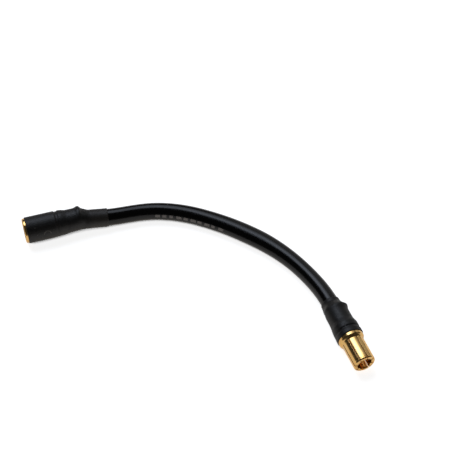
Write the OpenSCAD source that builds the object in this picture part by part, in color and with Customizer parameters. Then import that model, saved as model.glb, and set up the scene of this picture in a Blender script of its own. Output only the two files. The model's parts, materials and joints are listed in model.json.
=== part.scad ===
// Battery extension lead: a slotted 8 mm bullet plug and its mating socket, soldered to the two ends of one
// short heavy silicone cable. A shrunk sleeve covers each joint. The lead lies on a flat surface at z = 0.

/* [Contacts] */
// Outside diameter of the plug's barrel
barrel_d = 8; // [7.5:0.05:8.4]
// Clearance all round between the barrel and the socket's bore
contact_gap = 0.02; // [0.01:0.01:0.04]
// Wall of the socket round its bore; the plug's collar has the socket's outside diameter
socket_wall = 0.68; // [0.58:0.02:0.9]

/* [Plug] */
// Length of the barrel from its tip to the neck
barrel_len = 9.4; // [8:0.1:10]
// Wall of the barrel
barrel_wall = 1.4; // [0.9:0.05:1.6]
// Number of slots that split the barrel into springy tines
slot_count = 8; // [4:1:8]
// Width of each slot
slot_w = 0.5; // [0.3:0.05:0.7]
// How far each slot runs on into the neck
slot_run = 0.1; // [0.1:0.05:0.4]
// Turn of the slots about the barrel's axis, in degrees
slot_turn = 32; // [0:1:45]
// Radius that rounds the tip of the tines outside
tip_round = 0.5; // [0.3:0.05:0.7]
// Chamfer inside the mouth of the barrel
tip_chamfer = 0.25; // [0.1:0.05:0.5]
// Length of the lip in front of the turned line round the tip
lip_len = 0.9; // [0.8:0.05:1.2]
// Depth of that line
lip_line = 0.08; // [0.05:0.01:0.12]
// Slope of the neck at its middle, in degrees
neck_slope = 55; // [40:5:80]
// Length of the collar at its full diameter
collar_len = 2.5; // [2:0.1:3.5]
// Depth of the groove behind the collar
plug_groove_h = 0.3; // [0.15:0.05:0.4]
// Length of that groove
plug_groove_len = 1.2; // [0.8:0.1:1.6]
// How far the ring behind the groove lies below the collar
plug_ring_h = 0.12; // [0:0.02:0.14]
// Length of the ring
plug_ring_len = 2.4; // [1:0.1:3]
// Length of the tapered shoulder between ring and solder cup
plug_shoulder_len = 2.8; // [1:0.1:3.5]
// Length of the solder cup behind its shoulder
plug_cup_len = 4.6; // [4:0.1:6]
// Depth of the solder cup
plug_cup_depth = 7; // [5.4:0.1:7.6]

/* [Socket] */
// Room left in front of a fully seated barrel
bottom_gap = 2; // [1.5:0.1:2.5]
// Chamfer at the mouth of the bore
mouth_chamfer = 0.35; // [0.1:0.05:0.4]
// Radius that rounds the rim outside
rim_round = 0.25; // [0.1:0.05:0.25]
// Length at full diameter, from the rim to the groove
socket_len = 12; // [11.6:0.1:13]
// Depth of the groove
socket_groove_h = 0.35; // [0.25:0.05:0.5]
// Length of that groove
socket_groove_len = 1.4; // [1:0.1:2]
// How far the ring behind the groove lies below the full diameter
socket_ring_h = 0.15; // [0.05:0.05:0.2]
// Length of that ring
socket_ring_len = 0.6; // [0.4:0.1:1.4]
// Length of the tapered shoulder between ring and solder cup
socket_shoulder_len = 2.5; // [1:0.1:3]
// Length of the solder cup behind its shoulder
socket_cup_len = 4.3; // [4:0.1:5.5]
// Depth of the solder cup
socket_cup_depth = 6.8; // [6.2:0.1:7.4]

/* [Solder joints] */
// Outside diameter of both solder cups
cup_d = 8.1; // [7.8:0.05:8.3]
// Bore of both solder cups
cup_bore_d = 6.2; // [6:0.05:6.6]
// How far the solder stands below the mouth of its cup
solder_drop = 0.3; // [0.1:0.1:1]

/* [Cable] */
// Outside diameter of the silicone jacket
cable_d = 6.5; // [6.2:0.05:6.8]
// Diameter of the bundle of copper strands
strand_d = 3.8; // [3.4:0.05:4.1]
// Angle above level at which the plug's axis lies off the cable's centre
plug_lean = 93; // [50:1:120]
// Angle above level at which the socket's axis lies off the cable's centre
socket_lean = 38; // [20:1:60]

/* [Shrunk sleeves] */
// Wall of a sleeve once it has shrunk
sleeve_wall = 0.3; // [0.2:0.05:0.4]
// Straight part of the collar that stands out of the plug's sleeve
collar_reveal = 0.9; // [0.3:0.1:1.5]
// Length of the socket's rim that stands out of its sleeve
rim_reveal = 1.1; // [0.6:0.1:2]
// Length of the plug's sleeve over the cable
plug_tail = 4.6; // [4.4:0.1:8]
// Length over which the plug's sleeve draws in from cup to cable
plug_draw = 3.6; // [2:0.1:4]
// Length of the socket's sleeve over the cable
socket_tail = 11.2; // [7:0.1:14]
// Length over which the socket's sleeve draws in from cup to cable
socket_draw = 5; // [3:0.1:6]
// Height of the gathered fold on one side of each cup's mouth
fold_h = 0.5; // [0.1:0.05:0.6]
// Reach of that fold either side of the cup's mouth
fold_reach = 1.4; // [0.8:0.1:1.6]
// Angle above level at which the plug's fold stands out most
plug_fold_turn = 20; // [0:1:90]
// Angle above level at which the socket's fold stands out most
socket_fold_turn = 38; // [0:1:90]

/* [Hidden] */
$fn = 64;

cable_sides = 12;
sleeve_sides = 32;
arc_steps = 4;
// Rings of the cable in each span of its route.
steps = 3;
// Keeps a sleeve clear of the contact and the cable inside it.
skin_gap = 0.02;

// The cable's route, as the control points of one smooth curve, from the socket to the plug.
route = [
    [-49, 28.8, 4.5], [-43, 30.6, 4.5], [-40, 31.5, 4.5], [-34.5, 32.5, 3.75], [-28.5, 33.7, 3.5], [-22, 35.5, 3.25],
    [-15, 36.5, 3.25], [-7.5, 36, 3.25], [-0.5, 34.5, 3.25], [6.5, 32, 3.25], [13.5, 29, 3.25],
    [20, 25.5, 3.25], [26.6, 21.5, 3.25], [32.5, 16.9, 3.25], [37.8, 11.8, 3.25], [42.4, 6.3, 3.25],
    [46.6, 0.2, 3.5], [49.2, -5.1, 4], [50.8, -8.85, 4.2], [51.8, -11.35, 4.2], [53.8, -16.35, 4.2]
];
spans = len(route) - 3;

barrel_r = barrel_d / 2;
bore_r = barrel_r + contact_gap;
body_r = bore_r + socket_wall;
plug_ring_r = body_r - plug_ring_h;
socket_ring_r = body_r - socket_ring_h;
cup_r = cup_d / 2;
cable_r = cable_d / 2;
strand_r = strand_d / 2;
cable_shift = cup_r - cable_r;
neck_r = (body_r - barrel_r) / 2 / (1 - cos(neck_slope));
neck_len = 2 * neck_r * sin(neck_slope);

// Heights along each contact, measured from the mouth of its solder cup.
plug_ring_z = plug_cup_len + plug_shoulder_len;
plug_groove_z = plug_ring_z + plug_ring_len;
collar_z = plug_groove_z + plug_groove_len;
neck_z = collar_z + collar_len;
barrel_z = neck_z + neck_len;
tip_z = barrel_z + barrel_len;
socket_ring_z = socket_cup_len + socket_shoulder_len;
socket_groove_z = socket_ring_z + socket_ring_len;
socket_z = socket_groove_z + socket_groove_len;
rim_z = socket_z + socket_len;
bore_z = rim_z - barrel_len - bottom_gap;

// Point and direction of the cable's curve, a uniform cubic B-spline, at the parameter u from 0 to spans.
function span(u) = min(floor(u), spans - 1);
function blend(i, w) = w[0] * route[i] + w[1] * route[i + 1] + w[2] * route[i + 2] + w[3] * route[i + 3];
function place(t) = [pow(1 - t, 3), 3 * t * t * (t - 2) + 4, 3 * t * (1 + t - t * t) + 1, pow(t, 3)] / 6;
function slope(t) = [-pow(1 - t, 2), t * (3 * t - 4), 1 + t * (2 - 3 * t), t * t] / 2;
function at(u) = blend(span(u), place(u - span(u)));
function heading(u) = let (d = blend(span(u), slope(u - span(u)))) d / norm(d);

start = at(0);
start_dir = heading(0);
finish = at(spans);
finish_dir = heading(spans);

// Unit vectors across a direction d: level to its left, and upward.
function left_of(d) = let (s = cross([0, 0, 1], d)) s / norm(s);
function up_of(d) = cross(d, left_of(d));
function across(d, a) = cos(a) * left_of(d) + sin(a) * up_of(d);

// Ring of n points round c, across d; it swells by the given height towards the angle lean.
function ring(c, d, r, n, swell = 0, lean = 0) = [
    for (k = [0:n - 1])
        let (a = 360 * k / n, h = swell * pow(max(0, cos(a - lean)), 2)) c + (r + h) * across(d, a)
];

// Quarter or lesser arc about c, from angle a to angle b.
function arc(c, r, a, b) = [for (i = [0:arc_steps]) let (t = a + (b - a) * i / arc_steps) c + r * [cos(t), sin(t)]];

// Side faces between rings of n points that follow one another from the point number base.
function sides(n, rings, base, inward) = [
    for (i = [0:rings - 2]) for (k = [0:n - 1])
        let (a = base + i * n + k, b = base + i * n + (k + 1) % n)
        inward ? [a, b, b + n, a + n] : [a, a + n, b + n, b]
];

// Solid bar through rings of equal count.
module bar(rings) {
    n = len(rings[0]);
    m = len(rings);
    polyhedron(
        points = [for (r = rings) each r],
        faces = concat([[for (k = [0:n - 1]) k]], sides(n, m, 0, false), [[for (k = [1:n]) m * n - k]])
    );
}

// Tube between outer and inner rings of equal count.
module tube(outer, inner) {
    n = len(outer[0]);
    m = len(outer);
    hole = m * n;
    last = hole - n;
    polyhedron(
        points = concat([for (r = outer) each r], [for (r = inner) each r]),
        faces = concat(
            sides(n, m, 0, false), sides(n, m, hole, true),
            [for (k = [0:n - 1]) let (j = (k + 1) % n) [k, j, hole + j, hole + k]],
            [for (k = [0:n - 1]) let (j = (k + 1) % n) [last + j, last + k, hole + last + k, hole + last + j]]
        )
    );
}

// Stands a contact on an end of the cable: its cup's mouth meets the jacket, and its axis runs along d.
module seat(end, d, a) {
    translate(end + cable_shift * across(d, a)) rotate([0, 90, atan2(d[1], d[0])]) children();
}
module on_plug() seat(finish, finish_dir, plug_lean) children();
module on_socket() seat(start, -start_dir, 180 - socket_lean) children();

// Outlines of the sleeved part of each contact, as radius and height.
function groove(ring_r, depth, from, to) = [
    [ring_r, from], [body_r - depth, from + ring_r + depth - body_r], [body_r - depth, to - depth], [body_r, to]
];
plug_back = concat(
    [[cup_r, 0], [cup_r, plug_cup_len], [plug_ring_r, plug_ring_z]],
    groove(plug_ring_r, plug_groove_h, plug_groove_z, collar_z)
);
socket_back = concat(
    [[cup_r, 0], [cup_r, socket_cup_len], [socket_ring_r, socket_ring_z]],
    groove(socket_ring_r, socket_groove_h, socket_groove_z, socket_z)
);

module plug_body() color("gold") on_plug() difference() {
    hole_r = barrel_r - barrel_wall;
    line_z = tip_z - lip_len;
    rotate_extrude() polygon(concat(
        [[cup_bore_d / 2, 0]],
        plug_back,
        arc([body_r - neck_r, neck_z], neck_r, 0, neck_slope),
        arc([barrel_r + neck_r, barrel_z], neck_r, 180 + neck_slope, 180),
        [[barrel_r, line_z - lip_line], [barrel_r - lip_line, line_z], [barrel_r, line_z + lip_line]],
        arc([barrel_r - tip_round, tip_z - tip_round], tip_round, 0, 90),
        [[hole_r + tip_chamfer, tip_z], [hole_r, tip_z - tip_chamfer], [hole_r, barrel_z]],
        [[0, barrel_z - hole_r / 2], [0, plug_cup_depth], [cup_bore_d / 2, plug_cup_depth]]
    ));
    for (i = [0:slot_count - 1])
        rotate([0, 0, slot_turn + 360 * i / slot_count])
            translate([0, -slot_w / 2, barrel_z - slot_run]) cube([barrel_d, slot_w, slot_run + 2 * barrel_len]);
}

module socket_body() color("gold") on_socket() rotate_extrude() polygon(concat(
    [[cup_bore_d / 2, 0]],
    socket_back,
    arc([body_r - rim_round, rim_z - rim_round], rim_round, 0, 90),
    [[bore_r + mouth_chamfer, rim_z], [bore_r, rim_z - mouth_chamfer], [bore_r, bore_z]],
    [[0, bore_z], [0, socket_cup_depth], [cup_bore_d / 2, socket_cup_depth]]
));

// Solder that fills a cup round the strands, which end at the height strand_top.
module solder(depth, strand_top, a) difference() {
    translate([0, 0, solder_drop]) cylinder(d = cup_bore_d, h = depth - solder_drop);
    translate([cable_shift * sin(a), -cable_shift * cos(a), -strand_top])
        cylinder(d = strand_d, h = 2 * strand_top, $fn = cable_sides);
}

module plug_solder() color("silver") on_plug()
    solder(plug_cup_depth, norm(route[len(route) - 1] - finish), plug_lean);

module socket_solder() color("silver") on_socket()
    solder(socket_cup_depth, norm(route[0] - start), 180 - socket_lean);

// Rings of the jacket, and of the strands, which run on into both cups.
u_list = [for (i = [0:spans * steps]) i / steps];
function cable_rings(r) = [for (u = u_list) ring(at(u), heading(u), r, cable_sides)];

module cable_jacket() color("dimgray") tube(cable_rings(cable_r), cable_rings(strand_r));

module cable_strands() color("sandybrown") bar(concat(
    [ring(route[0], start_dir, strand_r, cable_sides)],
    cable_rings(strand_r),
    [ring(route[len(route) - 1], finish_dir, strand_r, cable_sides)]
));

// How far a sleeve still follows its cup, from 1 to 0, and the height of its fold, at the distance t
// behind the cup's mouth. Over the contact t is negative.
function follow(t, draw) = (1 + cos(180 * min(1, max(0, t / draw)))) / 2;
function fold(t) = fold_h * pow(max(0, 1 - abs(t) / fold_reach), 2);

// Distances at which a sleeve has a ring, from its front edge over the contact to its end on the cable.
function stations(outline, top, draw, tail) = concat(
    [-top, sleeve_wall / 2 - top],
    [for (i = [len(outline) - 1:-1:1]) -outline[i][1]],
    [for (k = [-3:3]) fold_reach * k / 3],
    [for (k = [1:4]) fold_reach + (draw - fold_reach) * k / 4],
    [for (k = [1:3]) draw + (tail - draw) * k / 3]
);

// Radius of what a sleeve has shrunk onto: the contact's outline, or the cable under its easing end.
function held_r(outline, t, draw) =
    t > 0 ? cable_r + cable_shift * follow(t, draw) : lookup(-t, [for (p = outline) [p[1], p[0]]]);
function wall_at(t, top) = min(sleeve_wall, sleeve_wall / 2 + top + t);

// Sleeve over a contact and its cable. Each frame holds the cable's line at one station: point and direction.
module sleeve(outline, top, draw, t_list, frames, lean, fold_turn) {
    n = len(t_list);
    centres = [for (i = [0:n - 1])
        frames[i][0] + cable_shift * follow(t_list[i], draw) * across(frames[i][1], lean)];
    held = [for (t = t_list) held_r(outline, t, draw)];
    tube([for (i = [0:n - 1])
             let (r = held[i] + wall_at(t_list[i], top))
             ring(centres[i], frames[i][1], r, sleeve_sides, fold(t_list[i]), fold_turn)],
         [for (i = [0:n - 1])
             ring(centres[i], frames[i][1], (held[i] + skin_gap) / cos(180 / sleeve_sides), sleeve_sides)]);
}

// Parameter of the cable's curve at the distance t from its start or its finish.
function from_start(t) = lookup(t, [for (u = u_list) [norm(at(u) - start), u]]);
function from_finish(t) = spans - lookup(t, [for (u = u_list) [norm(at(spans - u) - finish), u]]);

module plug_sleeve() color("dimgray") {
    top = neck_z - collar_reveal;
    t = stations(plug_back, top, plug_draw, plug_tail);
    back = [for (i = [len(t) - 1:-1:0]) t[i]];
    sleeve(plug_back, top, plug_draw, back,
           [for (d = back) d <= 0 ? [finish - d * finish_dir, finish_dir]
                                  : [at(from_finish(d)), heading(from_finish(d))]],
           plug_lean, plug_fold_turn);
}

module socket_sleeve() color("dimgray") {
    top = rim_z - rim_reveal;
    t = stations(socket_back, top, socket_draw, socket_tail);
    sleeve(socket_back, top, socket_draw, t,
           [for (d = t) d <= 0 ? [start + d * start_dir, start_dir]
                               : [at(from_start(d)), heading(from_start(d))]],
           socket_lean, socket_fold_turn);
}

cable_jacket();
cable_strands();
plug_body();
plug_solder();
plug_sleeve();
socket_body();
socket_solder();
socket_sleeve();
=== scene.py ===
"""Looks of a short battery extension lead: a slotted gold bullet plug and its gold socket on a black cable.

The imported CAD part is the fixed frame. Every piece is a surface worked out from that frame with numpy, in
metres, and every finish is procedural.
"""

from __future__ import annotations

import json
import logging
import math
from dataclasses import dataclass, field
from enum import Enum
from typing import Any

import bmesh
import bpy
import numpy as np
from numpy.typing import NDArray
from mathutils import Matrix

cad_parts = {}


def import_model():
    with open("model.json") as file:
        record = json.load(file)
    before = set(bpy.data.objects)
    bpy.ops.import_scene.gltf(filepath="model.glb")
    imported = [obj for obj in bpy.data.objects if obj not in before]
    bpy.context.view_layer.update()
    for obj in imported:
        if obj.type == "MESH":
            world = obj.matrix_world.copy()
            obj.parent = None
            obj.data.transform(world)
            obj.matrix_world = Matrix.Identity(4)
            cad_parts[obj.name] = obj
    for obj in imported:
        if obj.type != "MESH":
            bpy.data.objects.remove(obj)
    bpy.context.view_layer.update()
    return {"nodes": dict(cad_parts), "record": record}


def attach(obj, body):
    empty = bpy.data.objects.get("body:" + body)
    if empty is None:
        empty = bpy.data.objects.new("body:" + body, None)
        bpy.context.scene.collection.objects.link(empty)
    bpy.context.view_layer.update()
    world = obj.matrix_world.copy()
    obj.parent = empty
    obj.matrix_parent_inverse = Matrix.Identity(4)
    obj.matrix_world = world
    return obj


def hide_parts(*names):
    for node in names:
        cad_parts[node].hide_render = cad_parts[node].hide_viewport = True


Array = NDArray[np.float64]
Colour = tuple[float, float, float]

LOG = logging.getLogger("battery_lead")
MM = 0.001
UP = np.array([0.0, 0.0, 1.0])
SURFACE_MAP = "surface"

# Sizes that more than one piece is built to, in millimetres
CABLE_D = 6.5
STRAND_D = 3.8
BODY_R = 4.7
CUP_R = 4.05
CUP_BORE_R = 3.1

# Span in which a noise texture's values mostly lie
NOISE_SPAN = (0.3, 0.7)


class End(Enum):
    """Which way the cable's line is walked: away from the socket, or away from the plug."""

    SOCKET = "socket"
    PLUG = "plug"


# --------------------------------------------------------------------------------------------------
# Surfaces
# --------------------------------------------------------------------------------------------------


def unit(v: Array) -> Array:
    """Vectors scaled to length one, along the last axis."""
    return v / np.linalg.norm(v, axis=-1, keepdims=True)


def ease(t: Array) -> Array:
    """Smooth step from 0 to 1: three t squared minus two t cubed, with t held between 0 and 1."""
    t = np.clip(t, 0.0, 1.0)
    return t * t * (3.0 - 2.0 * t)


def rounded(corners: list[tuple[float, float, float]], steps: int = 6) -> Array:
    """Outline whose corners are rounded by arcs.

    At each inner corner the arc of radius r touches both sides at r times the tangent of half the turn.

    Args:
        corners: Radius, height and rounding radius of each corner, in millimetres.
        steps: Segments in each arc.

    Returns:
        Points of the outline, in metres, one per row.
    """
    points = np.array([c[:2] for c in corners])
    out = [points[:1]]
    for i in range(1, len(points) - 1):
        before, after = unit(points[i - 1] - points[i]), unit(points[i + 1] - points[i])
        half = math.acos(float(np.clip(before @ after, -1, 1))) / 2
        radius = corners[i][2]
        if radius <= 0 or half > math.pi / 2 - 1e-3:
            out.append(points[i : i + 1])
            continue
        centre = points[i] + unit(before + after) * radius / math.sin(half)
        first = points[i] + before * radius / math.tan(half) - centre
        last = points[i] + after * radius / math.tan(half) - centre
        turn = math.atan2(first[0] * last[1] - first[1] * last[0], float(first @ last))
        a = np.linspace(0.0, turn, steps + 1)[:, None]
        spun_r = first[0] * np.cos(a) - first[1] * np.sin(a)
        spun_z = first[0] * np.sin(a) + first[1] * np.cos(a)
        out.append(centre + np.hstack([spun_r, spun_z]))
    out.append(points[-1:])
    return np.vstack(out) * MM


def new_mesh(
    name: str, points: Array, faces: list[Array], corner_maps: list[Array], sharp_deg: float
) -> bpy.types.Object:
    """Puts arrays of points, faces and map coordinates into one smooth-shaded mesh object.

    Args:
        name: Name of the piece.
        points: Positions, one per row.
        faces: Arrays of vertex numbers; every row is a face, and each array has faces of one size.
        corner_maps: Map coordinates of every face's corners, in step with faces.
        sharp_deg: Edges that turn more than this stay sharp.

    Returns:
        The object, at the origin.
    """
    mesh = bpy.data.meshes.new(name)
    mesh.from_pydata(points.tolist(), [], [row for block in faces for row in block.tolist()])
    layer = mesh.uv_layers.new(name=SURFACE_MAP)
    corners = np.vstack([block.reshape(-1, 2) for block in corner_maps])
    layer.data.foreach_set("uv", corners.astype(np.float32).ravel())
    mesh.polygons.foreach_set("use_smooth", np.ones(len(mesh.polygons), bool))
    mesh.set_sharp_from_angle(angle=math.radians(sharp_deg))
    mesh.update()
    piece = bpy.data.objects.new(name, mesh)
    bpy.context.scene.collection.objects.link(piece)
    return piece


def grid_mesh(
    name: str,
    grid: Array,
    lengths: Array,
    turns: Array,
    loop_rows: bool = False,
    poles: tuple[bool, bool] = (False, False),
    sharp_deg: float = 35.0,
    flat_ends: bool = False,
) -> bpy.types.Object:
    """Closed surface through a grid of points that wraps round in its columns.

    Rows follow one another along the piece. They close on the first row again, or end in a pole, where a row
    has shrunk to one point, or end in one flat face.

    Args:
        name: Name of the piece.
        grid: Points, by row and column; faces look outwards when rows run along and columns turn left-handed.
        lengths: Map coordinate of each row, one more than the rows where they loop.
        turns: Map coordinate of each column, one more than the columns.
        loop_rows: Whether the last row joins the first.
        poles: Whether the first and the last row are single points.
        sharp_deg: Edges that turn more than this stay sharp.
        flat_ends: Whether the first and the last row are closed by flat faces.

    Returns:
        The object.
    """
    rows, cols = grid.shape[:2]
    index = np.arange(rows * cols).reshape(rows, cols)
    if poles[0]:
        index[0] = index[0, 0]
    if poles[1]:
        index[-1] = index[-1, 0]
    used, flat = np.unique(index, return_inverse=True)
    index = flat.reshape(rows, cols)
    points = grid.reshape(-1, 3)[used]
    if loop_rows:
        index = np.vstack([index, index[:1]])
    wide = np.hstack([index, index[:, :1]])
    u, v = np.meshgrid(lengths, turns, indexing="ij")
    uv = np.stack([u, v], axis=-1)
    a, b, c, d = wide[:-1, :-1], wide[1:, :-1], wide[1:, 1:], wide[:-1, 1:]
    ua, ub, uc, ud = uv[:-1, :-1], uv[1:, :-1], uv[1:, 1:], uv[:-1, 1:]
    first, last = (1 if poles[0] else 0), (len(a) - 1 if poles[1] else len(a))
    faces = [np.stack([a, b, c, d], -1)[first:last].reshape(-1, 4)]
    maps = [np.stack([ua, ub, uc, ud], -2)[first:last].reshape(-1, 4, 2)]
    if poles[0]:
        faces.append(np.stack([a, b, c], -1)[0])
        maps.append(np.stack([ua, ub, uc], -2)[0])
    if poles[1]:
        faces.append(np.stack([a, b, d], -1)[-1])
        maps.append(np.stack([ua, ub, ud], -2)[-1])
    if flat_ends:
        faces += [index[:1], index[-1:, ::-1]]
        maps += [uv[:1, :-1], uv[-1:, -2::-1]]
    return new_mesh(name, points, faces, maps, sharp_deg)


def joined(piece: bpy.types.Object, others: list[bpy.types.Object]) -> bpy.types.Object:
    """Joins other pieces into a piece and merges the points that lie on one another.

    Args:
        piece: The piece that stays.
        others: Pieces whose meshes go into it.

    Returns:
        The piece.
    """
    mesh = bmesh.new()
    for part in (piece, *others):
        mesh.from_mesh(part.data)
    bmesh.ops.remove_doubles(mesh, verts=mesh.verts[:], dist=0.0005 * MM)
    mesh.to_mesh(piece.data)
    mesh.free()
    for part in others:
        bpy.data.objects.remove(part)
    return piece


def sideways(along: Array) -> tuple[Array, Array]:
    """Unit vectors across each direction: level to its left, and upwards."""
    left = unit(np.cross(UP, along))
    return left, np.cross(along, left)


def run_length(line: Array) -> Array:
    """Distance along a line of points, from its first point, at each point."""
    return np.concatenate([[0.0], np.cumsum(np.linalg.norm(np.diff(line, axis=0), axis=1))])


# --------------------------------------------------------------------------------------------------
# Cable line and contact axes
# --------------------------------------------------------------------------------------------------


@dataclass(frozen=True)
class CableLine:
    """Centre line of the cable: a uniform cubic B-spline from the socket's cup to the plug's cup.

    Attributes:
        route: Control points in metres, the same as the CAD part's.
        samples: Points at which the curve's length is tabled.
    """

    route: tuple[tuple[float, float, float], ...] = (
        (-0.049, 0.0288, 0.0045), (-0.043, 0.0306, 0.0045), (-0.040, 0.0315, 0.0045),
        (-0.0345, 0.0325, 0.00375), (-0.0285, 0.0337, 0.0035), (-0.022, 0.0355, 0.00325),
        (-0.015, 0.0365, 0.00325), (-0.0075, 0.036, 0.00325), (-0.0005, 0.0345, 0.00325),
        (0.0065, 0.032, 0.00325), (0.0135, 0.029, 0.00325), (0.020, 0.0255, 0.00325),
        (0.0266, 0.0215, 0.00325), (0.0325, 0.0169, 0.00325), (0.0378, 0.0118, 0.00325),
        (0.0424, 0.0063, 0.00325), (0.0466, 0.0002, 0.0035), (0.0492, -0.0051, 0.004),
        (0.0508, -0.00885, 0.0042), (0.0518, -0.01135, 0.0042), (0.0538, -0.01635, 0.0042),
    )
    samples: int = 4001

    @property
    def spans(self) -> int:
        """Number of cubic pieces in the curve."""
        return len(self.route) - 3

    def _blend(self, u: Array, slope: bool) -> Array:
        """Position or slope of the spline at parameters from 0 to spans.

        The four control points round each parameter are weighted by the cubic B-spline basis or its slope.
        """
        points = np.array(self.route)
        i = np.clip(np.floor(u).astype(int), 0, self.spans - 1)
        t = (u - i)[:, None]
        if slope:
            w = np.hstack([-((1 - t) ** 2), 3 * t * t - 4 * t, 1 + 2 * t - 3 * t * t, t * t]) / 2
        else:
            inner = [3 * t**3 - 6 * t * t + 4, 1 + 3 * t + 3 * t * t - 3 * t**3]
            w = np.hstack([(1 - t) ** 3, *inner, t**3]) / 6
        return (w[:, :, None] * points[i[:, None] + np.arange(4)]).sum(axis=1)

    def _table(self) -> tuple[Array, Array]:
        """Fine list of parameters, and the curve's length up to each."""
        u = np.linspace(0.0, self.spans, self.samples)
        return u, run_length(self._blend(u, False))

    @property
    def length(self) -> float:
        """Length of the whole line, in metres."""
        return float(self._table()[1][-1])

    def at(self, s: Array) -> tuple[Array, Array]:
        """Points and directions at distances from the socket's end; past an end the line runs on straight.

        Args:
            s: Distances along the line, in metres.

        Returns:
            Positions and unit directions, one row per distance.
        """
        u, run = self._table()
        inside = np.clip(s, 0.0, run[-1])
        at = np.interp(inside, run, u)
        along = unit(self._blend(at, True))
        return self._blend(at, False) + along * (s - inside)[:, None], along


@dataclass(frozen=True)
class ContactAxis:
    """Straight axis of one contact, with heights counted from its solder cup's mouth to its tip."""

    mouth: Array
    along: Array

    @classmethod
    def from_mount(cls, record: dict[str, Any], name: str, start_mm: float) -> "ContactAxis":
        """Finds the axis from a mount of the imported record, whose point is the middle of its wall.

        Args:
            record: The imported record.
            name: The mount's name.
            start_mm: Height above the cup's mouth at which the mount's wall starts.

        Returns:
            The axis.
        """
        mount = next(m for m in record["mounts"] if m["name"] == name)
        along = unit(np.array(mount["axis"], float))
        middle = start_mm + mount["dims"]["length_mm"] / 2
        return cls(np.array(mount["pos_m"], float) - along * middle * MM, along)

    def place(self, radius: Array, height: Array, angle: Array) -> Array:
        """Points at a radius, height and angle about the axis; the angle turns from left towards up.

        Args:
            radius: Distances from the axis.
            height: Heights above the cup's mouth.
            angle: Angles in radians.

        Returns:
            Points, with the arrays' common shape and three coordinates.
        """
        left, up = sideways(self.along)
        return (
            self.mouth
            + height[..., None] * self.along
            + (radius * np.cos(angle))[..., None] * left
            + (radius * np.sin(angle))[..., None] * up
        )

    def turned(self, name: str, outline: Array, segments: int, sharp_deg: float = 30.0) -> bpy.types.Object:
        """Turned piece: an outline of radius and height, spun round the axis.

        An outline that starts and ends on the axis closes in a pole there, and any other closes on itself.

        Args:
            name: Name of the piece.
            outline: Radius and height in metres, one point per row, running up the outside.
            segments: Facets round the axis.
            sharp_deg: Edges that turn more than this stay sharp.

        Returns:
            The object.
        """
        angle = np.arange(segments) * 2 * math.pi / segments
        poles = bool(outline[0, 0] < 1e-9 and outline[-1, 0] < 1e-9)
        grid = self.place(outline[:, :1], outline[:, 1:], -angle[None, :])
        ring = outline if poles else np.vstack([outline, outline[:1]])
        turns = np.linspace(0.0, 1.0, segments + 1)
        return grid_mesh(name, grid, run_length(ring) / MM, turns, not poles, (poles, poles), sharp_deg)


# --------------------------------------------------------------------------------------------------
# Finishes
# --------------------------------------------------------------------------------------------------


class NodeSheet:
    """Small helper that adds nodes to one node tree and wires them by socket name."""

    def __init__(self, tree: bpy.types.NodeTree) -> None:
        """Starts on a node tree."""
        self.tree = tree
        self.count = 0

    def add(self, kind: str, inputs: dict[str | int, Any] | None = None, **settings: Any) -> bpy.types.Node:
        """Adds a node.

        Args:
            kind: Type of the node, such as ShaderNodeMix.
            inputs: Socket name or number to a value, or to the output that feeds it.
            settings: Properties of the node itself.

        Returns:
            The node.
        """
        node = self.tree.nodes.new(kind)
        node.location = (200.0 * (self.count % 8), -220.0 * (self.count // 8))
        self.count += 1
        for key, value in settings.items():
            setattr(node, key, value)
        for key, value in (inputs or {}).items():
            if isinstance(value, bpy.types.NodeSocket):
                self.tree.links.new(value, node.inputs[key])
            else:
                node.inputs[key].default_value = value
        return node

    def math(self, operation: str, a: Any, b: Any = 0.0) -> bpy.types.NodeSocket:
        """Adds a Math node and gives its output."""
        return self.add("ShaderNodeMath", {0: a, 1: b}, operation=operation).outputs[0]

    def noise(self, vector: Any, scale: Any, detail: float) -> bpy.types.NodeSocket:
        """Adds a Noise Texture and gives its value output."""
        inputs = {"Vector": vector, "Scale": scale, "Detail": detail}
        return self.add("ShaderNodeTexNoise", inputs).outputs["Fac"]

    def spot(self) -> tuple[bpy.types.NodeSocket, bpy.types.NodeSocket]:
        """Reads the piece's own map: the length along the piece and the turn round it."""
        surface = self.add("ShaderNodeUVMap", uv_map=SURFACE_MAP).outputs[0]
        parts = self.add("ShaderNodeSeparateXYZ", {0: surface})
        return parts.outputs[0], parts.outputs[1]

    def ramp(
        self, value: Any, low: float, high: float, to_low: float = 0.0, to_high: float = 1.0
    ) -> bpy.types.NodeSocket:
        """Adds a smooth, clamped Map Range node and gives its output."""
        inputs = {"Value": value, "From Min": low, "From Max": high, "To Min": to_low, "To Max": to_high}
        return self.add("ShaderNodeMapRange", inputs, interpolation_type="SMOOTHSTEP").outputs["Result"]

    def mix_colour(self, mask: Any, a: Any, b: Any) -> bpy.types.NodeSocket:
        """Mixes two colours by a mask and gives the colour output."""
        node = self.add("ShaderNodeMix", data_type="RGBA")
        for key, value in ((0, mask), (6, a), (7, b)):
            if isinstance(value, bpy.types.NodeSocket):
                self.tree.links.new(value, node.inputs[key])
            else:
                node.inputs[key].default_value = value
        return node.outputs[2]


def rgba(r: float, g: float, b: float) -> tuple[float, float, float, float]:
    """Opaque linear colour."""
    return (r, g, b, 1.0)


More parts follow.
